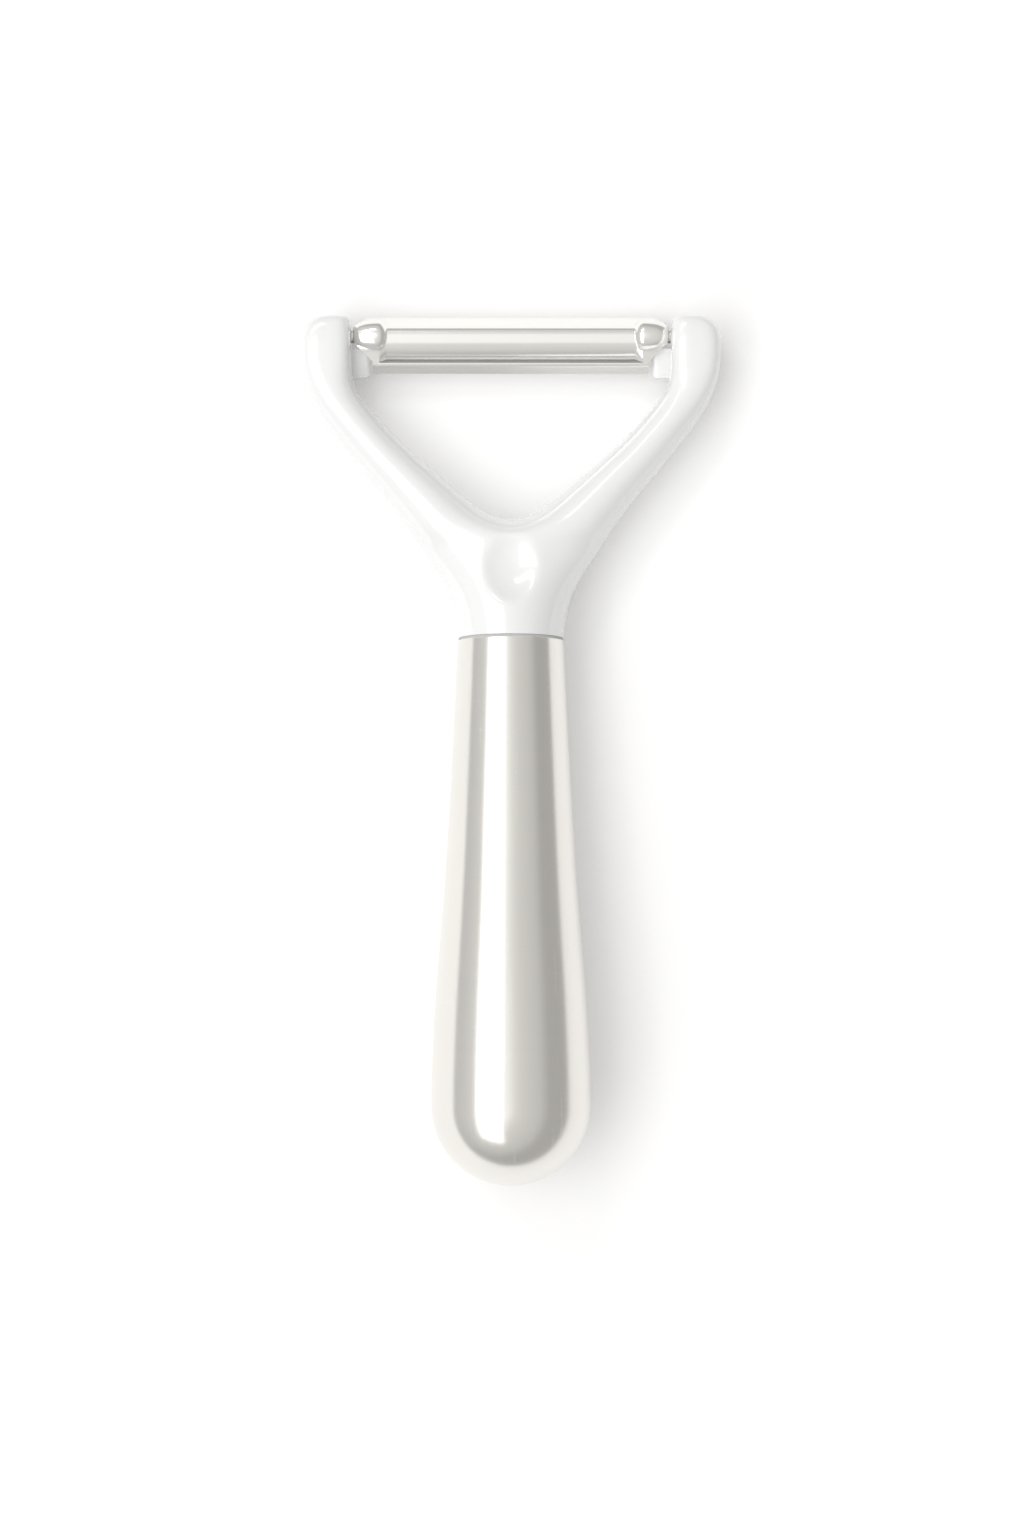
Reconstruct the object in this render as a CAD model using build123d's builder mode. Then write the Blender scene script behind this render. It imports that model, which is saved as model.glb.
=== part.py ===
from build123d import *
from math import atan, cos, degrees, radians, sin
import os

# A Y-shaped vegetable peeler, lying on its back on a table.
# +Z is up and z = 0 is the table, +Y points to the head, +X to the right arm.
# Stations are distances along the handle's own axis from its round end.

# The whole peeler
overall_length = 153.0
handle_length = 96.0
head_width = 74.5

# Steel handle
steel_wall = 0.8
belly_radius = 14.0
belly_station = 15.0
grip_radius = 12.0
grip_station = 48.0
waist_radius = 10.05
waist_station = 81.0
mouth_radius = 9.4
mouth_taper_angle = 2.5

# Sealing ring between the handle's mouth and the fork
seal_thickness = 0.35
seal_recess = 0.12

# Tang of the fork and the resin round it
tang_length = 30.0
resin_gap = 0.9
resin_depth = 3.0
key_groove_count = 3
key_groove_depth = 0.8
key_groove_width = 2.0
key_groove_pitch = 7.0
tang_end_chamfer = 1.2

# Tips of the fork's arms
tip_width = 9.05
arm_depth = 11.0
pad_length = 14.7
pad_corner_share = 0.31

# Web between the arms
crotch_radius = 11.5
crotch_station = 117.2
crotch_half_angle = 46.0
web_depth = 11.0
web_edge_radius = 4.0
web_side_length = 4.0
web_root_length = 13.0

# Thumb dimple in the neck
dimple_radius = 13.0
dimple_station = 107.3
dimple_rim_height = 8.0
dimple_depth = 1.35
dimple_lean_angle = 9.0

# Pivot line of the blade
pivot_inset = 3.0
journal_radius = 1.25
journal_length = 4.5
journal_end_chamfer = 0.25
running_clearance = 0.05
end_clearance = 0.3
bore_end_clearance = 0.2

# Pressed blade. Reaches go forward or back from the pivot line and heights go up
# or down from it, all to the middle of the sheet
sheet_thickness = 0.8
flange_reach = 3.30
flange_drop = 1.86
crown_front_reach = 0.62
crown_front_height = 1.78
crown_rear_reach = 1.42
crown_rear_height = 1.50
lip_corner_reach = 4.85
lip_corner_height = 0.08
lip_reach = 5.95
lip_drop = 1.90
crown_bend_radius = 1.3
crease_radius = 1.6
lip_bend_radius = 0.9
flange_end_inset = 0.5
lip_end_inset = 3.2
shoulder_start_reach = 1.7
shoulder_end_reach = 4.5

# Slot of the blade and the cutting edge ground along its front
slot_end_inset = 4.6
slot_front_reach = 3.45
slot_width = 1.25
slot_corner_radius = 0.3
bevel_length = 1.9
edge_thickness = 0.12

# Rounded bulge at each end of the blade and the pin welded under it
bulge_radius = 3.0
bulge_length = 5.4
bulge_end_radius = 1.7
bulge_front_angle = -30.0
bulge_rear_angle = 165.0
weld_gap = 0.04
pin_head_length = 2.5
pin_head_fillet = 0.8

# Stop blocks on the arms
stop_reach = 3.1
stop_front_reach = 2.32
stop_length = 4.8
stop_foot_depth = 3.2
stop_gap = 0.15
stop_fillet = 0.7

# How far cutting shapes run past what they cut, and joined ones into each other
overrun = 1.0


def grip_points(inset):
    """Places (radius, station) that the grip's line passes, set in by a wall."""
    return [
        (belly_radius - inset, belly_station),
        (grip_radius - inset, grip_station),
        (waist_radius - inset, waist_station),
        (mouth_radius - inset, handle_length),
    ]


mouth_angle = radians(mouth_taper_angle)
grip_tangents = ((0, 1), (-sin(mouth_angle), cos(mouth_angle)))

# The peeler leans on its belly and, in front of it, on the handle's mouth or the tips of
# the arms, whichever is lower. The line to each of these clears the whole grip
with BuildLine() as grip_line:
    Spline(*grip_points(0), tangents=grip_tangents)

sample_count = 40
grip_samples = [grip_line.line @ (i / sample_count) for i in range(sample_count - 1)]
front_supports = [(mouth_radius, handle_length), (arm_depth / 2, overall_length)]
rest_slope = min(
    max((point.X - height) / (station - point.Y) for point in grip_samples)
    for height, station in front_supports
)
tilt = atan(rest_slope)

# The plane of the fork: x to the right arm, y along the handle's axis, z up
fork_plane = Plane(
    origin=(
        0,
        -overall_length * cos(tilt) / 2,
        mouth_radius * cos(tilt) + handle_length * sin(tilt),
    ),
    x_dir=(1, 0, 0),
    z_dir=(0, sin(tilt), cos(tilt)),
)
handle_axis = Axis(fork_plane.origin, fork_plane.y_dir)
mirror_plane = Plane.YZ


def across(x, station, turn=0):
    """Plane across the fork at a place in it, turned from the handle's axis."""
    angle = radians(turn)
    return Plane(
        origin=fork_plane.from_local_coords(Vector(x, station, 0)),
        x_dir=fork_plane.x_dir * cos(angle) - fork_plane.y_dir * sin(angle),
        z_dir=fork_plane.x_dir * sin(angle) + fork_plane.y_dir * cos(angle),
    )


# Handle tube: tapered steel tube from the weld at the belly to the mouth
tube_end = across(0, handle_length - seal_thickness)

with BuildPart() as handle_tube:
    with BuildSketch(fork_plane):
        with BuildLine():
            outer = Spline(*grip_points(0), tangents=grip_tangents)
            inner = Spline(*grip_points(steel_wall), tangents=grip_tangents)
            Line(outer @ 0, inner @ 0)
            Line(outer @ 1, inner @ 1)
        make_face()
    revolve(axis=handle_axis)
    split(bisect_by=tube_end, keep=Keep.BOTTOM)
handle_tube.part.label = "handle_tube"

# Handle end cap: domed cap, butt welded to the tube and polished flush
with BuildPart() as handle_end_cap:
    with BuildSketch(fork_plane):
        with BuildLine():
            dome = CenterArc((0, belly_radius), belly_radius, -90, 90)
            hollow = CenterArc((0, belly_radius), belly_radius - steel_wall, -90, 90)
            Line(dome @ 0, hollow @ 0)
            Polyline(
                dome @ 1,
                (belly_radius, belly_station),
                (belly_radius - steel_wall, belly_station),
                hollow @ 1,
            )
        make_face()
    revolve(axis=handle_axis)
handle_end_cap.part.label = "handle_end_cap"

# Sealing ring: lies between the tube's mouth and the fork's collar
tang_radius = mouth_radius - steel_wall - resin_gap

with BuildPart() as collar_seal:
    with BuildSketch(tube_end):
        Circle(mouth_radius - seal_recess)
        Circle(tang_radius, mode=Mode.SUBTRACT)
    extrude(amount=seal_thickness)
collar_seal.part.label = "collar_seal"

# Tang: the fork's plug inside the handle, with ring grooves that key it to the resin
with BuildPart() as tang:
    with BuildSketch(fork_plane):
        with Locations((0, handle_length - tang_length)):
            Rectangle(tang_radius, tang_length + overrun, align=(Align.MIN, Align.MIN))
        chamfer(vertices().group_by(Axis.Y)[0].sort_by(Axis.X)[-1], tang_end_chamfer)
        with Locations((tang_radius, handle_length - tang_length / 2)):
            with GridLocations(0, key_groove_pitch, 1, key_groove_count):
                Rectangle(2 * key_groove_depth, key_groove_width, mode=Mode.SUBTRACT)
    revolve(axis=handle_axis)

# Resin plug: fills the handle's mouth round the tang and a little below it
with BuildPart() as tang_resin:
    with BuildSketch(fork_plane):
        with BuildLine():
            bore = Spline(*grip_points(steel_wall), tangents=grip_tangents)
            Polyline(bore @ 0, (0, belly_station), (0, handle_length), bore @ 1)
        make_face()
    revolve(axis=handle_axis)
    split(bisect_by=tube_end, keep=Keep.BOTTOM)
    split(
        bisect_by=across(0, handle_length - tang_length - resin_depth), keep=Keep.TOP
    )
    add(tang.part, mode=Mode.SUBTRACT)
tang_resin.part.label = "tang_resin"

# Tip of the right arm, flat on its inner side for the pivot. A row is a section's
# distance from the tip as a share of the pad's length, its turn from the handle's
# axis, how far its inner side stands back as a share of the tip's width, and its
# width and depth as shares of the tip's
arm_gap = head_width - 2 * tip_width
tip_section_shares = [
    (1.00, 33.0, 0.01, 0.56, 0.70),
    (0.80, 18.0, 0.01, 0.82, 0.88),
    (0.58, 5.0, 0.00, 0.98, 0.99),
    (0.42, 0.0, 0.00, 1.00, 1.00),
    (0.25, 0.0, 0.00, 0.99, 1.00),
    (0.14, 0.0, 0.00, 0.85, 0.97),
    (0.06, 0.0, 0.02, 0.66, 0.91),
    (0.00, 0.0, 0.13, 0.33, 0.80),
]

with BuildPart() as tip_pad:
    for tip_share, turn, back_share, width_share, depth_share in tip_section_shares:
        middle = arm_gap / 2 + (back_share + width_share / 2) * tip_width
        with BuildSketch(across(middle, overall_length - tip_share * pad_length, turn)):
            RectangleRounded(
                width_share * tip_width,
                depth_share * arm_depth,
                width_share * pad_corner_share * tip_width,
            )
    loft(ruled=True)

# The pivot line, seen from the right end of the blade: x to the head, y up
pivot_station = overall_length - pivot_inset
pivot_point = fork_plane.from_local_coords(Vector(0, pivot_station, 0))
pivot_axis = Axis(pivot_point, fork_plane.x_dir)
blade_section_plane = Plane(
    origin=pivot_point, x_dir=fork_plane.y_dir, z_dir=fork_plane.x_dir
)
blade_plan_plane = Plane(
    origin=pivot_point, x_dir=fork_plane.x_dir, z_dir=fork_plane.z_dir
)

# Stop block: stands on the inner side of the arm behind the pivot, its top parallel
# to the underside of the blade's rear strip
strip_drop = crown_rear_height - lip_corner_height
strip_slope = strip_drop / (lip_corner_reach - crown_rear_reach)
strip_lean = cos(atan(strip_slope))


def strip_height(reach, offset):
    """Height at a reach behind the pivot, offset square from the strip's middle."""
    middle = crown_rear_height - (reach - crown_rear_reach) * strip_slope
    return middle + offset / strip_lean


stop_rear_reach = stop_front_reach + stop_length
stop_offset = -sheet_thickness / 2 - stop_gap

with BuildPart() as stop_block:
    with BuildSketch(blade_section_plane.offset(arm_gap / 2 - stop_reach)):
        with BuildLine():
            Polyline(
                (-stop_front_reach, strip_height(stop_front_reach, stop_offset)),
                (-stop_rear_reach, strip_height(stop_rear_reach, stop_offset)),
                (-stop_rear_reach, -stop_foot_depth),
                (-stop_front_reach, -stop_foot_depth),
                close=True,
            )
        make_face()
    extrude(amount=stop_reach + overrun)
    fillet(faces().sort_by(Axis.X)[0].edges(), stop_fillet)

# Web: closes the crotch between the two arms
crotch_sweep = 90 - crotch_half_angle
side_direction = Vector(sin(radians(crotch_half_angle)), cos(radians(crotch_half_angle)))

with BuildPart() as web:
    with BuildSketch(fork_plane):
        with BuildLine():
            crotch = CenterArc(
                (0, crotch_station + crotch_radius),
                crotch_radius,
                -90 - crotch_sweep,
                2 * crotch_sweep,
            )
            side_end = crotch @ 1 + side_direction * web_side_length
            root_corner = Vector(side_end.X + tip_width / 2, crotch_station)
            Polyline(
                crotch @ 1,
                side_end,
                root_corner,
                (0, crotch_station - web_root_length),
                (-root_corner.X, root_corner.Y),
                (-side_end.X, side_end.Y),
                crotch @ 0,
            )
        make_face()
    extrude(amount=web_depth / 2, both=True)
    fillet(edges().filter_by(GeomType.CIRCLE), web_edge_radius)


def oval_points(half_width, half_depth):
    """Eight points round an oval, from its outer end."""
    return [
        (half_width * cos(radians(angle)), half_depth * sin(radians(angle)))
        for angle in range(0, 360, 45)
    ]


# Fork: one moulding of neck, two arms, web, stop blocks and tang.
# Each arm is lofted through ovals that grow out of the round collar. A row is the
# oval's centre (share of the tip's x, share of the fork's length), its turn, and its
# half width and half depth as shares of the collar's radius
fork_length = overall_length - handle_length
tip_x = (arm_gap + tip_width) / 2
arm_section_shares = [
    (0.000, 0.000, 0.0, 1.000, 1.000),
    (0.003, 0.058, 1.0, 1.016, 0.970),
    (0.015, 0.112, 4.0, 1.037, 0.931),
    (0.049, 0.172, 10.0, 1.011, 0.883),
    (0.110, 0.228, 18.0, 0.915, 0.830),
    (0.202, 0.284, 26.0, 0.809, 0.771),
    (0.321, 0.330, 33.0, 0.596, 0.713),
    (0.403, 0.389, 38.0, 0.580, 0.660),
    (0.500, 0.449, 40.0, 0.527, 0.617),
    (0.617, 0.519, 42.0, 0.473, 0.585),
    (0.738, 0.589, 42.5, 0.447, 0.569),
    (0.834, 0.656, 41.0, 0.426, 0.559),
    (0.923, 0.723, 35.0, 0.420, 0.553),
    (0.978, 0.789, 22.0, 0.426, 0.559),
    (0.996, 0.860, 6.0, 0.447, 0.532),
]
blade_end = arm_gap / 2 - end_clearance
pin_shoulder = blade_end - sheet_thickness
bore_depth = pin_shoulder + journal_length + bore_end_clearance - arm_gap / 2
dimple_rise = dimple_radius - dimple_depth
dimple_lean = radians(dimple_lean_angle)
dimple_centre = fork_plane.from_local_coords(
    Vector(
        0,
        dimple_station + dimple_rise * sin(dimple_lean),
        dimple_rim_height + dimple_rise * cos(dimple_lean),
    )
)
bore_mouth = Plane(
    origin=pivot_point + fork_plane.x_dir * (arm_gap / 2),
    x_dir=fork_plane.y_dir,
    z_dir=-fork_plane.x_dir,
)

with BuildPart() as head_fork:
    for x_share, length_share, turn, width_share, depth_share in arm_section_shares:
        place = across(
            x_share * tip_x, handle_length + length_share * fork_length, turn
        )
        with BuildSketch(place):
            with BuildLine():
                Spline(
                    *oval_points(width_share * mouth_radius, depth_share * mouth_radius),
                    periodic=True,
                )
            make_face()
    loft(ruled=True)
    split(bisect_by=mirror_plane, keep=Keep.TOP)
    add(tip_pad.part)
    add(stop_block.part)
    with Locations(bore_mouth):
        Hole(journal_radius + running_clearance, bore_depth)
    mirror(about=mirror_plane)
    add(web.part)
    add(tang.part)
    with Locations(dimple_centre):
        Sphere(dimple_radius, mode=Mode.SUBTRACT)
head_fork.part.label = "head_fork"

# Peeling blade: pressed from one sheet. Its right half is made and mirrored
flange_half_length = blade_end - flange_end_inset
lip_half_length = blade_end - lip_end_inset
slot_half_length = blade_end - slot_end_inset
bevel_front_reach = slot_front_reach - bevel_length
slot_middle_reach = slot_front_reach + slot_width / 2
bulge_centre = blade_end - bulge_length + bulge_radius
cavity_radius = bulge_radius - sheet_thickness
bulge_start = radians(bulge_front_angle)
bulge_plane = Plane(
    origin=pivot_point,
    x_dir=fork_plane.x_dir,
    z_dir=fork_plane.z_dir * cos(bulge_start) - fork_plane.y_dir * sin(bulge_start),
)

with BuildPart() as peeling_blade:
    # Bent sheet
    with BuildSketch(blade_section_plane):
        with BuildLine():
            FilletPolyline(
                (flange_reach, -flange_drop),
                (crown_front_reach, crown_front_height),
                (-crown_rear_reach, crown_rear_height),
                (-lip_corner_reach, lip_corner_height),
                (-lip_reach, -lip_drop),
                radius=(crown_bend_radius, crease_radius, lip_bend_radius),
            )
        trace(line_width=sheet_thickness)
    extrude(amount=flange_half_length)
    # Shoulder cut away behind the bulge
    with BuildSketch(blade_plan_plane):
        with BuildLine():
            Polyline(
                (flange_half_length, -shoulder_start_reach),
                (lip_half_length, -shoulder_end_reach),
                (lip_half_length, -lip_reach - overrun),
                (flange_half_length + overrun, -lip_reach - overrun),
                (flange_half_length + overrun, -shoulder_start_reach),
                close=True,
            )
        make_face()
    extrude(amount=bulge_radius, both=True, mode=Mode.SUBTRACT)
    # Slot, and the cutting edge ground along its front
    with BuildSketch(blade_plan_plane):
        with Locations((0, -slot_middle_reach)):
            RectangleRounded(2 * slot_half_length, slot_width, slot_corner_radius)
    extrude(amount=bulge_radius, both=True, mode=Mode.SUBTRACT)
    with BuildSketch(blade_section_plane):
        with BuildLine():
            bevel_front = (
                -bevel_front_reach,
                strip_height(bevel_front_reach, sheet_thickness / 2),
            )
            edge_height = strip_height(
                slot_front_reach, edge_thickness - sheet_thickness / 2
            )
            Polyline(
                bevel_front,
                (-slot_front_reach, edge_height),
                (-slot_middle_reach, edge_height),
                (-slot_middle_reach, bulge_radius),
                (-bevel_front_reach, bulge_radius),
                close=True,
            )
        make_face()
    extrude(amount=slot_half_length, mode=Mode.SUBTRACT)
    # Bulge pressed up over the pin's head, and its cavity
    with BuildSketch(bulge_plane):
        with BuildLine():
            dome = CenterArc((bulge_centre, 0), bulge_radius, 180, -90)
            FilletPolyline(
                dome @ 1,
                (blade_end, bulge_radius),
                (blade_end, 0),
                radius=bulge_end_radius,
            )
            Line((blade_end, 0), dome @ 0)
        make_face()
    revolve(axis=pivot_axis, revolution_arc=bulge_rear_angle - bulge_front_angle)
    with BuildSketch(bulge_plane):
        with BuildLine():
            hollow = CenterArc((bulge_centre, 0), cavity_radius, 180, -90)
            Polyline(
                hollow @ 1,
                (pin_shoulder, cavity_radius),
                (pin_shoulder, journal_radius + weld_gap),
                (blade_end + overrun, journal_radius + weld_gap),
                (blade_end + overrun, 0),
                hollow @ 0,
            )
        make_face()
    revolve(axis=pivot_axis, mode=Mode.SUBTRACT)
    mirror(about=mirror_plane)
peeling_blade.part.label = "peeling_blade"

# Pivot pins: headed steel pins, welded in the bulges, that turn in the arms
with BuildPart() as right_pivot_pin:
    with BuildSketch(blade_plan_plane):
        with Locations((pin_shoulder, 0)):
            Rectangle(
                pin_head_length,
                cavity_radius - weld_gap,
                align=(Align.MAX, Align.MIN),
            )
            Rectangle(journal_length, journal_radius, align=(Align.MIN, Align.MIN))
        fillet(vertices().group_by(Axis.Y)[-1].sort_by(Axis.X)[0], pin_head_fillet)
        chamfer(vertices().group_by(Axis.X)[-1].sort_by(Axis.Y)[-1], journal_end_chamfer)
    revolve(axis=pivot_axis)
right_pivot_pin.part.label = "right_pivot_pin"

with BuildPart() as left_pivot_pin:
    mirror(right_pivot_pin.part, about=mirror_plane)
left_pivot_pin.part.label = "left_pivot_pin"

os.makedirs("parts", exist_ok=True)
pieces = [
    handle_tube,
    handle_end_cap,
    collar_seal,
    tang_resin,
    head_fork,
    peeling_blade,
    right_pivot_pin,
    left_pivot_pin,
]
for piece in pieces:
    export_step(piece.part, f"parts/{piece.part.label}.step")

print(f"The handle's axis leans {degrees(tilt):.2f} degrees, head down")
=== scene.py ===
from math import cos, hypot, pi, radians, sin, sqrt, tan

import bmesh
import bpy
from mathutils import Matrix, Vector
from mathutils.geometry import interpolate_bezier


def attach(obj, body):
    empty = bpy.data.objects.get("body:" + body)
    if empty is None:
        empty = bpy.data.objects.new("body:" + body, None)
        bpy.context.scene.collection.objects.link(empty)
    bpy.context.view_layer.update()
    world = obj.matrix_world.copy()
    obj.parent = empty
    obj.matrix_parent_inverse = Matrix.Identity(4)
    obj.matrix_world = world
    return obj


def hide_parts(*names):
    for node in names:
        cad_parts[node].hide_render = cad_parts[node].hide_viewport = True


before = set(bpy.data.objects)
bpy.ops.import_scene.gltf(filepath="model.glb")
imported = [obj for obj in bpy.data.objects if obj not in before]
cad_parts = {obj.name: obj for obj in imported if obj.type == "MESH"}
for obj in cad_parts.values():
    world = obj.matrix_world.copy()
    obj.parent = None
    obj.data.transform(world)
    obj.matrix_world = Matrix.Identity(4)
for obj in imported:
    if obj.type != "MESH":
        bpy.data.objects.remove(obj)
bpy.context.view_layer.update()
scene = bpy.context.scene
scene.view_settings.view_transform = "Standard"

# Camera: straight above the table, looking down, with the peeler's head at the top of
# the upright picture. The height of the view is measured at the level of the arms.
view_height = 0.2719
view_level = 0.008
view_middle = (0.0002, -0.0033)
lens = 80.0

camera_data = bpy.data.cameras.new("camera")
camera_data.lens = lens
camera = bpy.data.objects.new("camera", camera_data)
camera.location = (
    *view_middle,
    view_level + view_height * lens / camera_data.sensor_width,
)
scene.collection.objects.link(camera)
scene.camera = camera

# Table: a smooth white sheet that the peeler lies on. The camera and the shiny pieces
# see its shaded colour lifted to white, so that it keeps a soft shadow.
table_size = 12.0
table_roughness = 0.6
table_specular = 0.1
table_shaded = (0.94, 0.94, 0.94, 1)
table_lift = 0.12
table_bounce = (0.84, 0.84, 0.84, 1)


def new_material(name):
    """A material with its node tree and its Principled shader."""
    material = bpy.data.materials.new(name)
    material.use_nodes = True
    return material, material.node_tree, material.node_tree.nodes["Principled BSDF"]


def add_node(tree, kind, values=(), **settings):
    """A node with its settings, and the values of its inputs by name or number."""
    node = tree.nodes.new(kind)
    for name, setting in settings.items():
        setattr(node, name, setting)
    for name, value in dict(values).items():
        node.inputs[name].default_value = value
    return node


def either(tree, one, other):
    """A mask that is 1 where one of two masks is."""
    larger = add_node(tree, "ShaderNodeMath", operation="MAXIMUM")
    tree.links.new(one, larger.inputs[0])
    tree.links.new(other, larger.inputs[1])
    return larger.outputs[0]


def new_object(name, shape, material, sharp_angle=180):
    """An object made from a bmesh, smooth but for edges sharper than the angle."""
    bmesh.ops.recalc_face_normals(shape, faces=shape.faces)
    for face in shape.faces:
        face.smooth = True
    for edge in shape.edges:
        edge.smooth = edge.calc_face_angle(0) < radians(sharp_angle)
    mesh = bpy.data.meshes.new(name)
    shape.to_mesh(mesh)
    shape.free()
    mesh.materials.append(material)
    made = bpy.data.objects.new(name, mesh)
    scene.collection.objects.link(made)
    return made


white_table, tree, shader = new_material("white_table")
shader.inputs["Roughness"].default_value = table_roughness
shader.inputs["Specular IOR Level"].default_value = table_specular
seen_by = add_node(tree, "ShaderNodeLightPath").outputs
camera_or_gloss = either(tree, seen_by["Is Camera Ray"], seen_by["Is Glossy Ray"])
seen = either(tree, camera_or_gloss, seen_by["Is Transmission Ray"])
table_colour = add_node(
    tree, "ShaderNodeMix", {"A": table_bounce, "B": table_shaded}, data_type="RGBA"
)
tree.links.new(seen, table_colour.inputs["Factor"])
tree.links.new(table_colour.outputs["Result"], shader.inputs["Base Color"])
lift = add_node(tree, "ShaderNodeMath", {1: table_lift}, operation="MULTIPLY")
tree.links.new(seen, lift.inputs[0])
shader.inputs["Emission Color"].default_value = (1, 1, 1, 1)
tree.links.new(lift.outputs[0], shader.inputs["Emission Strength"])

table_sheet = bmesh.new()
bmesh.ops.create_grid(table_sheet, x_segments=1, y_segments=1, size=table_size / 2)
table = new_object("table", table_sheet, white_table)

# Light: a long pale panel overhead on the left with a brighter tube under it, a short
# strip lamp beyond the head, and the pale room round them. The panel and the tube face
# straight down. The strip lamp, the last of the three, is turned to face the peeler.
lamps = [
    # name, place, width, length, radiance
    ("panel", (-0.715, -0.425, 1.0), 0.97, 1.65, 1.2),
    ("bright_tube", (-0.66, -0.35, 0.99), 0.13, 0.90, 2.5),
    ("strip_lamp", (-0.45, 0.80, 1.0), 0.66, 0.16, 6.0),
]
for name, place, width, length, radiance in lamps:
    lamp_data = bpy.data.lights.new(name, "AREA")
    lamp_data.shape = "RECTANGLE"
    lamp_data.size = width
    lamp_data.size_y = length
    lamp_data.energy = radiance * pi * width * length
    lamp = bpy.data.objects.new(name, lamp_data)
    lamp.location = place
    scene.collection.objects.link(lamp)
lamp.rotation_euler = lamp.location.to_track_quat("Z", "Y").to_euler()

bright_side = (-0.33, 0.0, 0.944)
room_shades = [
    # nearness to the bright side, radiance
    (0.25, (0.465, 0.46, 0.455, 1)),
    (0.45, (0.625, 0.62, 0.61, 1)),
    (0.81, (0.735, 0.73, 0.715, 1)),
    (0.91, (0.845, 0.84, 0.825, 1)),
    (0.95, (1.03, 1.03, 1.015, 1)),
]
world = bpy.data.worlds.new("room")
world.use_nodes = True
scene.world = world
tree = world.node_tree
direction = add_node(tree, "ShaderNodeTexCoord")
nearness = add_node(
    tree, "ShaderNodeVectorMath", {1: bright_side}, operation="DOT_PRODUCT"
)
tree.links.new(direction.outputs["Generated"], nearness.inputs[0])
shades = add_node(tree, "ShaderNodeValToRGB")
shade_stops = shades.color_ramp.elements
darkest, *between, brightest = room_shades
for shade_stop, (position, radiance) in zip(shade_stops, (darkest, brightest)):
    shade_stop.position = position
    shade_stop.color = radiance
for position, radiance in between:
    shade_stops.new(position).color = radiance
tree.links.new(nearness.outputs["Value"], shades.inputs["Fac"])
tree.links.new(shades.outputs["Color"], tree.nodes["Background"].inputs["Color"])

# Handle: a club-shaped tube of satin stainless steel and the domed cap that closes its
# thick end. The cap is butt welded on and the weld is polished away, so no seam shows.
# Stations are distances along the handle's axis from its round end.
handle_lean = 0.061344
round_end = (0, -0.0763561, 0.0152676)
lean = Matrix.Translation(round_end) @ Matrix.Rotation(-handle_lean, 4, "X")
steel_wall = 0.0008
belly_radius = 0.0140
weld_station = 0.0150
mouth_station = 0.09565
mouth_chamfer = 0.0001
grip_knots = [
    # station, radius, slope
    (weld_station, belly_radius, 0.0),
    (0.0320, 0.013328, -0.064),
    (0.0480, 0.01207, -0.079),
    (0.0660, 0.01090, -0.056),
    (0.0810, 0.01010, -0.050),
    (mouth_station, 0.00941, -0.044),
]
grip_steps = 12
dome_steps = 32
turning_steps = 128
turned_sharp_angle = 40
touching = 0.000001
satin_colour = (0.82, 0.80, 0.765, 1)
satin_lines = (60, 9000, 60)


def new_group(name, inputs, outputs):
    """A shader node group with its input and output nodes."""
    group = bpy.data.node_groups.new(name, "ShaderNodeTree")
    for direction, sockets in (("INPUT", inputs), ("OUTPUT", outputs)):
        for title, kind in sockets:
            group.interface.new_socket(
                name=title, in_out=direction, socket_type=f"NodeSocket{kind}"
            )
    return group, group.nodes.new("NodeGroupInput"), group.nodes.new("NodeGroupOutput")


def spread_about(group, middle, spread, pattern):
    """A middle value, or 1, varied by a pattern, half of the spread each way."""
    centred = add_node(group, "ShaderNodeMath", {1: 0.5}, operation="SUBTRACT")
    swing = add_node(group, "ShaderNodeMath", {2: 0.0}, operation="MULTIPLY_ADD")
    group.links.new(pattern, centred.inputs[0])
    group.links.new(centred.outputs[0], swing.inputs[0])
    group.links.new(spread, swing.inputs[1])
    if middle is None:
        swing.inputs[2].default_value = 1.0
    else:
        group.links.new(middle, swing.inputs[2])
    return swing.outputs[0]


# The skin of every finish: a fine pattern, so many lines or pits in a metre each way,
# that varies the colour and the roughness and gives the height of the grain
skin, given, gives = new_group(
    "finish_skin",
    [
        ("Place", "Vector"),
        ("Lines per Metre", "Vector"),
        ("Colour", "Color"),
        ("Shade Spread", "Float"),
        ("Roughness", "Float"),
        ("Roughness Spread", "Float"),
    ],
    [("Colour", "Color"), ("Roughness", "Float"), ("Height", "Float")],
)
stretched = add_node(skin, "ShaderNodeVectorMath", operation="MULTIPLY")
skin.links.new(given.outputs["Place"], stretched.inputs[0])
skin.links.new(given.outputs["Lines per Metre"], stretched.inputs[1])
pattern = add_node(
    skin, "ShaderNodeTexNoise", {"Scale": 1.0, "Detail": 3.0, "Roughness": 0.6}
)
skin.links.new(stretched.outputs[0], pattern.inputs["Vector"])
shade = spread_about(
    skin, None, given.outputs["Shade Spread"], pattern.outputs["Fac"]
)
shaded = add_node(skin, "ShaderNodeVectorMath", operation="SCALE")
skin.links.new(given.outputs["Colour"], shaded.inputs[0])
skin.links.new(shade, shaded.inputs["Scale"])
skin.links.new(shaded.outputs[0], gives.inputs["Colour"])
rough = spread_about(
    skin,
    given.outputs["Roughness"],
    given.outputs["Roughness Spread"],
    pattern.outputs["Fac"],
)
skin.links.new(rough, gives.inputs["Roughness"])
skin.links.new(pattern.outputs["Fac"], gives.inputs["Height"])

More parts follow.
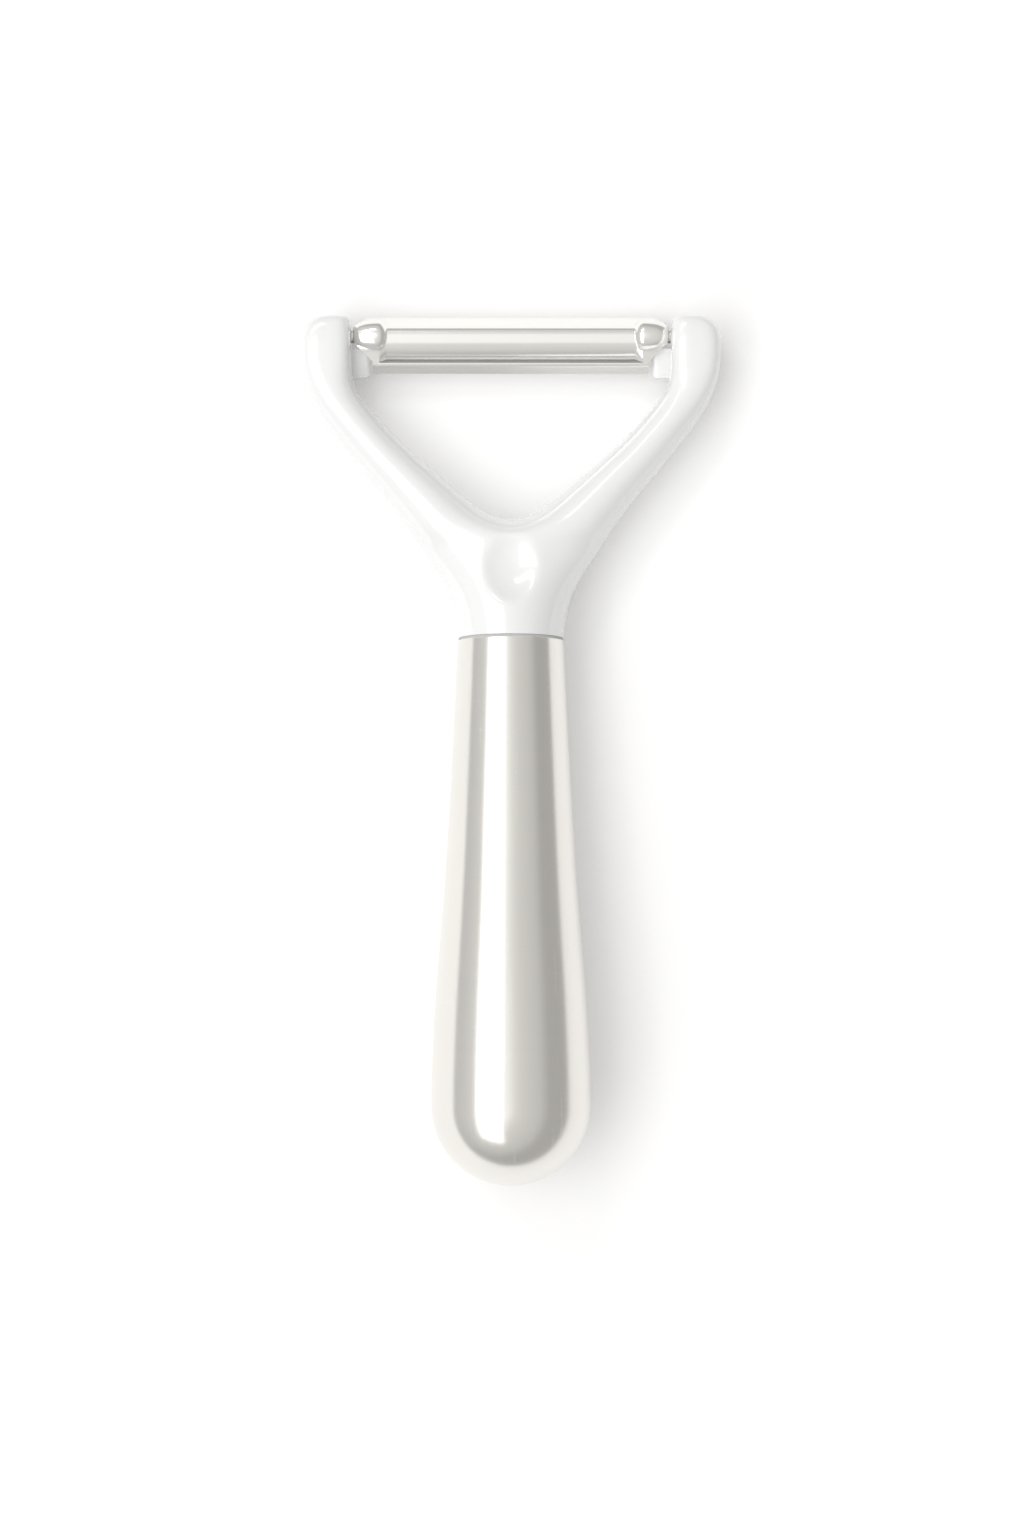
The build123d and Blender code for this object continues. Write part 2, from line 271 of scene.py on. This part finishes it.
# Marks of use: soft smears from handling and a few fine hairlines, both only in the
# roughness
marks, given, gives = new_group(
    "marks_of_use",
    [
        ("Place", "Vector"),
        ("Roughness", "Float"),
        ("Smears", "Float"),
        ("Hairlines", "Float"),
    ],
    [("Roughness", "Float")],
)
smears = add_node(
    marks, "ShaderNodeTexNoise", {"Scale": 90.0, "Detail": 2.0, "Roughness": 0.5}
)
marks.links.new(given.outputs["Place"], smears.inputs["Vector"])
smeared = spread_about(
    marks, given.outputs["Roughness"], given.outputs["Smears"], smears.outputs["Fac"]
)
slanted = add_node(
    marks,
    "ShaderNodeMapping",
    {"Rotation": (0.0, 0.0, 0.5), "Scale": (2600.0, 90.0, 400.0)},
)
marks.links.new(given.outputs["Place"], slanted.inputs["Vector"])
hairs = add_node(marks, "ShaderNodeTexNoise", {"Scale": 1.0, "Detail": 0.0})
marks.links.new(slanted.outputs[0], hairs.inputs["Vector"])
few_hairs = add_node(
    marks,
    "ShaderNodeMapRange",
    {"From Min": 0.72, "From Max": 0.80, "To Min": 0.0, "To Max": 1.0},
)
marks.links.new(hairs.outputs["Fac"], few_hairs.inputs["Value"])
with_hairs = add_node(marks, "ShaderNodeMath", operation="MULTIPLY_ADD")
marks.links.new(few_hairs.outputs[0], with_hairs.inputs[0])
marks.links.new(given.outputs["Hairlines"], with_hairs.inputs[1])
marks.links.new(smeared, with_hairs.inputs[2])
marks.links.new(with_hairs.outputs[0], gives.inputs["Roughness"])


def finish_material(
    name, colour, lines, grain_depth, roughness, shade_spread, rough_spread, smears,
    hairlines=0.0, metal=0.0
):
    """A material with a fine skin and marks of use, square to the leaning handle."""
    material, tree, shader = new_material(name)
    place = add_node(tree, "ShaderNodeTexCoord")
    level = add_node(tree, "ShaderNodeMapping", {"Rotation": (handle_lean, 0.0, 0.0)})
    tree.links.new(place.outputs["Object"], level.inputs["Vector"])
    covered = add_node(
        tree,
        "ShaderNodeGroup",
        {
            "Lines per Metre": lines,
            "Colour": colour,
            "Shade Spread": shade_spread,
            "Roughness": roughness,
            "Roughness Spread": rough_spread,
        },
        node_tree=skin,
    )
    tree.links.new(level.outputs[0], covered.inputs["Place"])
    used = add_node(
        tree,
        "ShaderNodeGroup",
        {"Smears": smears, "Hairlines": hairlines},
        node_tree=marks,
    )
    tree.links.new(level.outputs[0], used.inputs["Place"])
    tree.links.new(covered.outputs["Roughness"], used.inputs["Roughness"])
    bump = add_node(
        tree, "ShaderNodeBump", {"Strength": 1.0, "Distance": grain_depth}
    )
    tree.links.new(covered.outputs["Height"], bump.inputs["Height"])
    tree.links.new(covered.outputs["Colour"], shader.inputs["Base Color"])
    tree.links.new(used.outputs["Roughness"], shader.inputs["Roughness"])
    tree.links.new(bump.outputs["Normal"], shader.inputs["Normal"])
    shader.inputs["Metallic"].default_value = metal
    return material


def grip_outline():
    """Points (radius, station) along the outside of the tube, from weld to mouth."""
    points = []
    for start, end in zip(grip_knots, grip_knots[1:]):
        third = (end[0] - start[0]) / 3
        curve = interpolate_bezier(
            (start[1], start[0]),
            (start[1] + start[2] * third, start[0] + third),
            (end[1] - end[2] * third, end[0] - third),
            (end[1], end[0]),
            grip_steps,
        )
        points += [tuple(point) for point in curve[:-1]]
    return points + [(grip_knots[-1][1], mouth_station)]


def turn_profile(profile, closed=True):
    """A solid turned about the handle's axis from points (radius, station)."""
    shape = bmesh.new()
    corners = [shape.verts.new((radius, station, 0)) for radius, station in profile]
    pairs = list(zip(corners, corners[1:]))
    if closed:
        pairs.append((corners[-1], corners[0]))
    for pair in pairs:
        shape.edges.new(pair)
    bmesh.ops.spin(
        shape,
        geom=shape.verts[:] + shape.edges[:],
        axis=(0, 1, 0),
        angle=2 * pi,
        steps=turning_steps,
        use_merge=True,
    )
    bmesh.ops.remove_doubles(shape, verts=shape.verts, dist=touching)
    bmesh.ops.transform(shape, matrix=lean, verts=shape.verts)
    return shape


satin_steel = finish_material(
    "satin_handle_steel",
    satin_colour,
    satin_lines,
    grain_depth=0.0000015,
    roughness=0.2,
    shade_spread=0.05,
    rough_spread=0.12,
    smears=0.04,
    hairlines=0.06,
    metal=1.0,
)

outside = grip_outline()
inside = [(radius - steel_wall, station) for radius, station in outside[::-1]]
mouth_radius = outside[-1][0]
outside[-1] = (mouth_radius, mouth_station - mouth_chamfer)
outside.append((mouth_radius - mouth_chamfer, mouth_station))
tube = new_object(
    "satin_handle_tube", turn_profile(outside + inside), satin_steel, turned_sharp_angle
)
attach(tube, "handle")
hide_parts("handle_tube")

dome_angles = [pi / 2 * step / dome_steps for step in range(dome_steps + 1)]
hollow_radius = belly_radius - steel_wall
dome = [
    (belly_radius * sin(angle), belly_radius - belly_radius * cos(angle))
    for angle in dome_angles
]
hollow = [
    (hollow_radius * sin(angle), belly_radius - hollow_radius * cos(angle))
    for angle in dome_angles[::-1]
]
cap_rim = [(belly_radius, weld_station), (hollow_radius, weld_station)]
cap = new_object(
    "satin_handle_end_cap",
    turn_profile(dome + cap_rim + hollow, closed=False),
    satin_steel,
    turned_sharp_angle,
)
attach(cap, "handle")
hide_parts("handle_end_cap")

# Sealing ring: a thin grey rubber washer, squeezed between the steel and the fork. It
# keeps water out of the handle.
rubber_colour = (0.52, 0.52, 0.52, 1)
rubber_pits = (2500, 2500, 2500)


def dress(node, material):
    """Gives a CAD node its material."""
    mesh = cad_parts[node].data
    mesh.materials.clear()
    mesh.materials.append(material)


seal_rubber = finish_material(
    "seal_rubber",
    rubber_colour,
    rubber_pits,
    grain_depth=0.00001,
    roughness=0.6,
    shade_spread=0.2,
    rough_spread=0.2,
    smears=0.1,
)
dress("collar_seal", seal_rubber)

# Resin plug: cast round the fork's tang to hold it in the handle's mouth. It is a pale
# amber epoxy that only shows when the handle is taken off.
resin_colour = (0.82, 0.78, 0.66, 1)
resin_cloud = (300, 300, 300)
cast_resin = finish_material(
    "cast_resin",
    resin_colour,
    resin_cloud,
    grain_depth=0.00003,
    roughness=0.45,
    shade_spread=0.12,
    rough_spread=0.2,
    smears=0.1,
)
dress("tang_resin", cast_resin)

# Fork: one glossy white moulding of neck, two arms, stop blocks and the tang inside the
# handle. A cage of rings with eight corners is bridged, mirrored and then smoothed. A
# ring is its middle (x, station), its turn in degrees, its half width and half depth,
# and how square it is, from an oval at 0 to a rounded block at 1.
plastic_colour = (0.895, 0.898, 0.904, 1)
plastic_pits = (700, 700, 700)
coat_weight = 1.0
coat_roughness = 0.1
coat_ior = 1.7
collar_station = 0.0960
arm_rings = [
    # middle x, station, turn, half width, half depth, squareness
    (0.01025, 0.11575, 19.8, 0.00664, 0.0068, 0.0),
    (0.01265, 0.11790, 26.8, 0.00577, 0.0065, 0.0),
    (0.01575, 0.12105, 36.0, 0.00507, 0.0060, 0.0),
    (0.01905, 0.12460, 40.5, 0.00450, 0.0057, 0.0),
    (0.02300, 0.12855, 40.0, 0.00415, 0.0054, 0.0),
    (0.02615, 0.13225, 38.0, 0.00399, 0.0053, 0.0),
    (0.02940, 0.13610, 33.3, 0.00383, 0.0052, 0.1),
    (0.03165, 0.13970, 21.8, 0.00404, 0.0052, 0.4),
    (0.03262, 0.14350, 6.0, 0.00440, 0.0054, 0.9),
    (0.03272, 0.14700, 0.0, 0.00452, 0.0055, 1.0),
    (0.03272, 0.14980, 0.0, 0.00452, 0.0055, 1.0),
    (0.03232, 0.15170, 0.0, 0.00400, 0.0052, 1.0),
    (0.03160, 0.15290, 0.0, 0.00300, 0.0046, 1.0),
    (0.03120, 0.15300, 0.0, 0.00200, 0.0036, 1.0),
]
neck_rings = [
    # station, half width, half depth
    (collar_station, 0.00860, 0.00860),
    (collar_station, 0.00932, 0.00928),
    (0.0964, 0.00938, 0.00926),
    (0.0993, 0.00962, 0.00908),
    (0.1028, 0.01035, 0.00875),
    (0.1064, 0.01195, 0.00825),
    (0.1099, 0.01425, 0.00770),
    (0.1118, 0.01570, 0.00740),
]
crotch_cage = [
    # station, height
    (0.1152, 0.0060),
    (0.1176, 0.0),
    (0.1152, -0.0060),
]
fork_smoothing = 4

# How far an oval ring's corners stand out, so that it has its half sizes once smoothed
oval_reach = 1 / (2 / 3 + cos(pi / 4) / 3)


def add_ring(shape, x, station, turn, half_width, half_depth, squareness):
    """A ring of eight corners whose smoothed form has the given half sizes."""
    side_reach = oval_reach + squareness * (1 - oval_reach)
    corner_reach = oval_reach * cos(pi / 4)
    corner_reach += squareness * (1 - corner_reach)
    ring = bmesh.ops.create_circle(shape, segments=8, radius=1)["verts"]
    for point in ring:
        across, up = round(point.co.x), round(point.co.y)
        reach = corner_reach if across and up else side_reach
        point.co = (across * reach, up * reach, 0)
    place = (
        Matrix.Translation((x, station, 0))
        @ Matrix.Rotation(-radians(turn), 4, "Z")
        @ Matrix.Rotation(pi / 2, 4, "X")
        @ Matrix.Diagonal((half_width, half_depth, 1, 1))
    )
    bmesh.ops.transform(shape, matrix=place, verts=ring)
    return list(dict.fromkeys(edge for point in ring for edge in point.link_edges))


def bridge(shape, ring, next_ring):
    """Joins two rings with faces and returns the second."""
    bmesh.ops.bridge_loops(shape, edges=ring + next_ring)
    return next_ring


def mirrored(shape):
    """Adds the left half of a shape to its right half."""
    geometry = shape.verts[:] + shape.edges[:] + shape.faces[:]
    bmesh.ops.mirror(shape, geom=geometry, axis="X", merge_dist=touching)
    return shape


def taken_shape(first, *others):
    """The shape that an object's modifiers give it. The objects are removed."""
    evaluated = first.evaluated_get(bpy.context.evaluated_depsgraph_get())
    mesh = bpy.data.meshes.new_from_object(evaluated)
    shape = bmesh.new()
    shape.from_mesh(mesh)
    for made in (first, *others):
        bpy.data.objects.remove(made)
    return shape


fork_cage = bmesh.new()
neck = [
    add_ring(fork_cage, 0, station, 0, half_width, half_depth, 0)
    for station, half_width, half_depth in neck_rings
]
for ring, next_ring in zip(neck, neck[1:]):
    bridge(fork_cage, ring, next_ring)

# The last ring of the neck is split down the middle by the crotch, and its right half
# carries the right arm
last_ring = neck[-1]
right_edges = [e for e in last_ring if all(v.co.x > -touching for v in e.verts)]
on_middle = {v for e in last_ring for v in e.verts if abs(v.co.x) < touching}
top, bottom = sorted(on_middle, key=lambda v: -v.co.z)
crotch = [fork_cage.verts.new((0, station, height)) for station, height in crotch_cage]
chain = [top, *crotch, bottom]
crotch_edges = [fork_cage.edges.new(pair) for pair in zip(chain, chain[1:])]
left_half = [v for v in fork_cage.verts if v.co.x < -touching]
bmesh.ops.delete(fork_cage, geom=left_half, context="VERTS")
arm_ring = right_edges + crotch_edges
for row in arm_rings:
    arm_ring = bridge(fork_cage, arm_ring, add_ring(fork_cage, *row))
bmesh.ops.contextual_create(fork_cage, geom=arm_ring)
mirrored(fork_cage)
collar_rim = [edge for edge in fork_cage.edges if edge.is_boundary]
bmesh.ops.contextual_create(fork_cage, geom=collar_rim)

white_plastic = finish_material(
    "glossy_white_plastic",
    plastic_colour,
    plastic_pits,
    grain_depth=0.000002,
    roughness=0.16,
    shade_spread=0.01,
    rough_spread=0.04,
    smears=0.05,
    hairlines=0.1,
)
shader = white_plastic.node_tree.nodes["Principled BSDF"]
shader.inputs["Coat Weight"].default_value = coat_weight
shader.inputs["Coat Roughness"].default_value = coat_roughness
shader.inputs["Coat IOR"].default_value = coat_ior

fork_form = new_object("fork_form", fork_cage, white_plastic)
smoothing = fork_form.modifiers.new("smoothing", "SUBSURF")
smoothing.levels = smoothing.render_levels = fork_smoothing
fork_shape = taken_shape(fork_form)

# The dimple for the thumb in the neck's upper side, a shallow dish with a soft rim
dimple_station, dimple_height = 0.1073, 0.0080
dimple_radius = 0.0130
dimple_depth = 0.00135
dimple_lean = radians(9.0)
dimple_softness = 0.0005
upper_side = 0.003
dimple_rise = dimple_radius - dimple_depth
dimple_middle = Vector(
    (
        0,
        dimple_station + dimple_rise * sin(dimple_lean),
        dimple_height + dimple_rise * cos(dimple_lean),
    )
)


def clamped(share):
    """A share, held between 0 and 1."""
    return min(max(share, 0), 1)


def smooth_max(one, other, softness):
    """The larger of two lengths, with a rounded change from one to the other."""
    share = clamped(0.5 + (one - other) / (2 * softness))
    return other + (one - other) * share + softness * share * (1 - share)


for point in fork_shape.verts:
    across = hypot(point.co.x, point.co.y - dimple_middle.y)
    if point.co.z > upper_side and across < dimple_radius:
        dish = dimple_middle.z - sqrt(dimple_radius**2 - across**2)
        point.co.z = -smooth_max(-point.co.z, -dish, dimple_softness)
fork_body = new_object("fork_body", fork_shape, white_plastic)

# The tang, with ring grooves that key it to the resin
tang_radius = 0.0077
tang_length = 0.0300
tang_chamfer = 0.0012
tang_overrun = 0.0010
groove_stations = (0.0740, 0.0810, 0.0880)
groove_depth = 0.0008
groove_width = 0.0020
tang_end = collar_station - tang_length
tang_profile = [
    (0, tang_end),
    (tang_radius - tang_chamfer, tang_end),
    (tang_radius, tang_end + tang_chamfer),
]
for middle in groove_stations:
    start, end = middle - groove_width / 2, middle + groove_width / 2
    floor = tang_radius - groove_depth
    tang_profile += [(tang_radius, start), (floor, start)]
    tang_profile += [(floor, end), (tang_radius, end)]
tang_profile += [
    (tang_radius, collar_station + tang_overrun),
    (0, collar_station + tang_overrun),
]
tang_shape = turn_profile(tang_profile, closed=False)
bmesh.ops.transform(tang_shape, matrix=lean.inverted(), verts=tang_shape.verts)
tang = new_object("tang", tang_shape, white_plastic)

# The stop blocks that the blade's ends rest on, and the blind holes for its pins.
# Reaches are distances ahead of the pivot line and heights are over it. Each form
# overruns the face that it joins or cuts.
pivot_station = 0.1500
arm_face = 0.0282
stop_face = 0.0251
stop_corners = [
    # reach, height
    (-0.00232, 0.000532),
    (-0.00712, -0.001455),
    (-0.00712, -0.0032),
    (-0.00232, -0.0032),
]
stop_rounding = 0.0007
stop_rounding_steps = 6
bore_radius = 0.0013
bore_end = 0.0318
bore_steps = 48
overrun = 0.0010
fork_sharp_angle = 35


def new_points(grown):
    """The points among what an extrusion made."""
    return [part for part in grown if isinstance(part, bmesh.types.BMVert)]


stops = bmesh.new()
stop_side = stops.faces.new(
    [
        stops.verts.new((stop_face, pivot_station + reach, height))
        for reach, height in stop_corners
    ]
)
grown = bmesh.ops.extrude_face_region(stops, geom=[stop_side])["geom"]
bmesh.ops.translate(
    stops, vec=(arm_face + overrun - stop_face, 0, 0), verts=new_points(grown)
)
side_edges = [
    edge
    for edge in stops.edges
    if all(abs(v.co.x - stop_face) < touching for v in edge.verts)
]
bmesh.ops.bevel(
    stops,
    geom=side_edges,
    offset=stop_rounding,
    segments=stop_rounding_steps,
    profile=0.5,
    affect="EDGES",
    material=-1,
)
stop_blocks = new_object("stop_blocks", mirrored(stops), white_plastic)

bores = bmesh.new()
bmesh.ops.create_cone(
    bores,
    cap_ends=True,
    segments=bore_steps,
    radius1=bore_radius,
    radius2=bore_radius,
    depth=bore_end - arm_face + overrun,
    matrix=Matrix.Translation(((bore_end + arm_face - overrun) / 2, pivot_station, 0))
    @ Matrix.Rotation(pi / 2, 4, "Y"),
)
bore_holes = new_object("bore_holes", mirrored(bores), white_plastic)

for form, operation in (
    (tang, "UNION"), (stop_blocks, "UNION"), (bore_holes, "DIFFERENCE")
):
    joining = fork_body.modifiers.new(form.name, "BOOLEAN")
    joining.object = form
    joining.operation = operation
    joining.solver = "EXACT"
fork_shape = taken_shape(fork_body, tang, stop_blocks, bore_holes)
bmesh.ops.transform(fork_shape, matrix=lean, verts=fork_shape.verts)
fork = new_object("white_head_fork", fork_shape, white_plastic, fork_sharp_angle)
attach(fork, "handle")
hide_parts("head_fork")

# Blade: a bright strip of stainless sheet, bent along its length, with a slot whose
# front edge is ground sharp. Each end is pressed up into a bulge over its pivot pin.
blade_colour = (0.93, 0.915, 0.885, 1)
rolling_lines = (40, 4000, 4000)
# The sheared rear wall's steel is rough, and its dark grey is painted shade for the slot
sheared_and_shaded_colour = (0.42, 0.415, 0.41, 1)
sheared_pits = (5000, 5000, 5000)
blade_sharp_angle = 40
sheet_thickness = 0.0008
sheet_corners = [
    # reach, height, bend radius
    (0.00330, -0.00186, 0),
    (0.00062, 0.00178, 0.0013),
    (-0.00142, 0.00150, 0.0016),
    (-0.00505, 0.0, 0.0007),
    (-0.00630, -0.00145, 0),
]
row_step = 0.00025
fewest_bend_rows = 4

# The strip's ends: how far out each ends at two reaches (reach, x), and how much of its
# front corner is rounded off. The bulge is a ball whose end closes round the pin.
shoulder = ((-0.0017, 0.0274), (-0.0045, 0.0245))
front_corner = 0.0019
press_start = 0.0234
bulge_middle = 0.0236
bulge_swell = 0.0017
bulge_radius = 0.0026
bulge_softness = 0.0005
bulge_rows = (0.0019, 0.0027)
dome_length = 0.0040
dome_columns = 20
pin_hole = 0.00129

# The sheet's columns: wide ones along the strip, narrow ones near the end and those of
# the bulge's closed end
wide_column, wide_columns = 0.004, 6
narrow_start, narrow_column, narrow_columns = 0.0214, 0.0002, 12
blade_columns = [wide_column * step for step in range(wide_columns)]
blade_columns += [narrow_start + narrow_column * step for step in range(narrow_columns)]
blade_columns += [
    bulge_middle + dome_length * step / dome_columns
    for step in range(1, dome_columns + 1)
]

# The slot, the ground face in front of it and its sheared rear wall. The slot takes in
# each column whose middle isn't past its end, and a row of the sheet just inside each of
# its sides keeps the sheet even beyond it.
slot_end = 0.0233
slot_front, slot_rear = -0.0039, -0.0047
slot_inset = 0.00025
slot_slant = 0.00045
ground_front = -0.00145
ground_curve = 2
ground_run_out = 0.0012
edge_thickness = 0.00012
edge_rounding = 0.00008
edge_rounding_steps = 2

# An edge that is folded more than this counts as sharp, and a direction that is within
# this angle of another counts as the same
edge_fold = radians(60)
same_way = cos(radians(26))

blade_steel = finish_material(
    "bright_blade_steel",
    blade_colour,
    rolling_lines,
    grain_depth=0.000001,
    roughness=0.16,
    shade_spread=0.05,
    rough_spread=0.08,
    smears=0.03,
    hairlines=0.08,
    metal=1.0,
)
# Rough steel for the slot's rear wall, painted dark as painted shade for the slot's
# inside
sheared_and_shaded_steel = finish_material(
    "sheared_and_shaded_blade_steel",
    sheared_and_shaded_colour,
    sheared_pits,
    grain_depth=0.00001,
    roughness=0.45,
    shade_spread=0.3,
    rough_spread=0.2,
    smears=0.05,
    metal=1.0,
)


def spread_points(start, end, step):
    """Points evenly along a straight run, without its end."""
    count = max(1, round((end - start).length / step))
    return [start.lerp(end, index / count) for index in range(count)]


def bent_line(corners, step):
    """Points along a line whose corners are bent to their radii."""
    points = []
    last = Vector(corners[0][:2])
    for before, here, after in zip(corners, corners[1:], corners[2:]):
        corner, radius = Vector(here[:2]), here[2]
        towards = (corner - Vector(before[:2])).normalized()
        away = (Vector(after[:2]) - corner).normalized()
        turn = towards.angle(away)
        start = corner - towards * radius * tan(turn / 2)
        end = corner + away * radius * tan(turn / 2)
        pull = 4 / 3 * tan(turn / 4) * radius
        points += spread_points(last, start, step)
        arc = interpolate_bezier(
            start,
            start + towards * pull,
            end - away * pull,
            end,
            max(fewest_bend_rows, round(radius * turn / step) + 2),
        )
        points += arc[:-1]
        last = end
    tail = Vector(corners[-1][:2])
    return points + spread_points(last, tail, step) + [tail]


def ball_reach(x):
    """How far from the pivot line the bulge's ball stands at a place along it."""
    reach_in = max(bulge_middle - x, 0) / bulge_swell
    return bulge_radius * sqrt(max(1 - reach_in**2, 0))


def pressed(point):
    """Where a point of the plain sheet goes when its end is pressed over the pin."""
    x, reach, height = point
    radius = hypot(reach, height)

    # The plain strip, whose end slants in towards its rear and is rounded at its front
    (start_reach, start_end), (rear_reach, rear_end) = shoulder
    share = clamped((start_reach - reach) / (start_reach - rear_reach))
    end = start_end + share * (rear_end - start_end)
    end -= front_corner * (max(reach, 0) / sheet_corners[0][0]) ** 2
    wall = bulge_middle + dome_length
    plain_x = x + max(x - press_start, 0) / (wall - press_start) * (end - wall)
    plain_radius = smooth_max(radius, ball_reach(plain_x), bulge_softness)

    # The rows over the pin, which follow the ball and then close round the pin
    bulge_x, bulge_out = x, smooth_max(radius, ball_reach(x), bulge_softness)
    if x > bulge_middle:
        turn = (x - bulge_middle) / dome_length * pi / 2
        bulge_x = bulge_middle + dome_length * sin(turn)
        bulge_out = pin_hole + (bulge_out - pin_hole) * cos(turn)

    nearest, farthest = bulge_rows
    over_pin = clamped((farthest - radius) / (farthest - nearest))
    over_pin *= over_pin * (3 - 2 * over_pin)
    out = (plain_radius + over_pin * (bulge_out - plain_radius)) / radius
    return (plain_x + over_pin * (bulge_x - plain_x), reach * out, height * out)


def slot_share(x):
    """1 along the slot, falling to 0 at its ends."""
    return clamped((slot_end - abs(x)) / ground_run_out)


sheet = bmesh.new()
profile = [sheet.verts.new((0, *point)) for point in bent_line(sheet_corners, row_step)]
front = [sheet.edges.new(pair) for pair in zip(profile, profile[1:])]
for column, next_column in zip(blade_columns, blade_columns[1:]):
    grown = bmesh.ops.extrude_edge_only(sheet, edges=front)["geom"]
    corners = new_points(grown)
    bmesh.ops.translate(sheet, vec=(next_column - column, 0, 0), verts=corners)
    grown_edges = [part for part in grown if isinstance(part, bmesh.types.BMEdge)]
    front = [edge for edge in grown_edges if all(v in corners for v in edge.verts)]
slot_rows = (slot_front, slot_front - slot_inset, slot_rear + slot_inset, slot_rear)
for reach in (ground_front, *slot_rows):
    bmesh.ops.bisect_plane(
        sheet,
        geom=sheet.verts[:] + sheet.edges[:] + sheet.faces[:],
        plane_co=(0, reach, 0),
        plane_no=(0, 1, 0),
    )
slot_faces = [
    face
    for face in sheet.faces
    if face.calc_center_median().x < slot_end + touching
    and slot_rear < face.calc_center_median().y < slot_front
]
bmesh.ops.delete(sheet, geom=slot_faces, context="FACES")
for point in sheet.verts:
    point.co = pressed(point.co)
blade_sheet = new_object("blade_sheet", mirrored(sheet), blade_steel)
thickening = blade_sheet.modifiers.new("thickness", "SOLIDIFY")
thickening.thickness = sheet_thickness
thickening.offset = 0
thickening.use_even_offset = True
blade_shape = taken_shape(blade_sheet)

# The ground face is hollow and runs down to the slot's front edge
rear_crease = Vector(sheet_corners[2][:2])
down_strip = (Vector(sheet_corners[3][:2]) - rear_crease).normalized()
over_strip = Vector((down_strip.y, -down_strip.x))
ground_start = (ground_front - rear_crease.x) / down_strip.x
ground_end = (slot_front - rear_crease.x) / down_strip.x
for point in blade_shape.verts:
    place = Vector(point.co.yz) - rear_crease
    along, over = place.dot(down_strip), place.dot(over_strip)
    on_top = over > sheet_thickness / 4
    if on_top and ground_start < along < ground_end + 10 * touching:
        share = ((along - ground_start) / (ground_end - ground_start)) ** ground_curve
        share *= slot_share(point.co.x)
        ground = over_strip * share * (sheet_thickness - edge_thickness)
        point.co -= Vector((0, ground.x, ground.y))

# The slot's rear wall is sheared at a slant. Its rough steel is painted dark grey, which
# is painted shade standing for the shadow inside the slot.
slot_wall = []
for face in blade_shape.faces:
    middle = face.calc_center_median()
    at_wall = abs(middle.y - slot_rear) < sheet_thickness / 4
    faces_front = face.normal.yz.dot(-down_strip) > same_way
    if at_wall and faces_front and abs(middle.x) < slot_end + touching:
        slot_wall.append(face)
for point in {point for face in slot_wall for point in face.verts}:
    if (Vector(point.co.yz) - rear_crease).dot(over_strip) < 0:
        point.co.y += slot_slant * slot_share(point.co.x)
for face in slot_wall:
    face.material_index = 1

# The sheet's long edges are rounded a little, but for the cutting edge
long_edges = [
    edge
    for edge in blade_shape.edges
    if edge.calc_face_angle(0) > edge_fold
    and abs((edge.verts[0].co - edge.verts[1].co).normalized().x) > same_way
    and abs(edge.verts[0].co.y - slot_front) > sheet_thickness / 2
]
bmesh.ops.bevel(
    blade_shape,
    geom=long_edges,
    offset=edge_rounding,
    segments=edge_rounding_steps,
    profile=0.5,
    affect="EDGES",
    material=-1,
)
to_pivot = lean @ Matrix.Translation((0, pivot_station, 0))
bmesh.ops.transform(blade_shape, matrix=to_pivot, verts=blade_shape.verts)
blade = new_object("bright_peeling_blade", blade_shape, blade_steel, blade_sharp_angle)
blade.data.materials.append(sheared_and_shaded_steel)
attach(blade, "blade")
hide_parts("peeling_blade")

# Pivot pins: turned steel pins, welded inside the bulges, whose journals turn in the
# blind holes of the arms. They ride with the blade.
pin_colour = (0.72, 0.71, 0.70, 1)
turning_lines = (6000, 60, 60)
pin_steel = finish_material(
    "turned_pin_steel",
    pin_colour,
    turning_lines,
    grain_depth=0.000002,
    roughness=0.25,
    shade_spread=0.06,
    rough_spread=0.12,
    smears=0.03,
    metal=1.0,
)
dress("left_pivot_pin", pin_steel)
dress("right_pivot_pin", pin_steel)
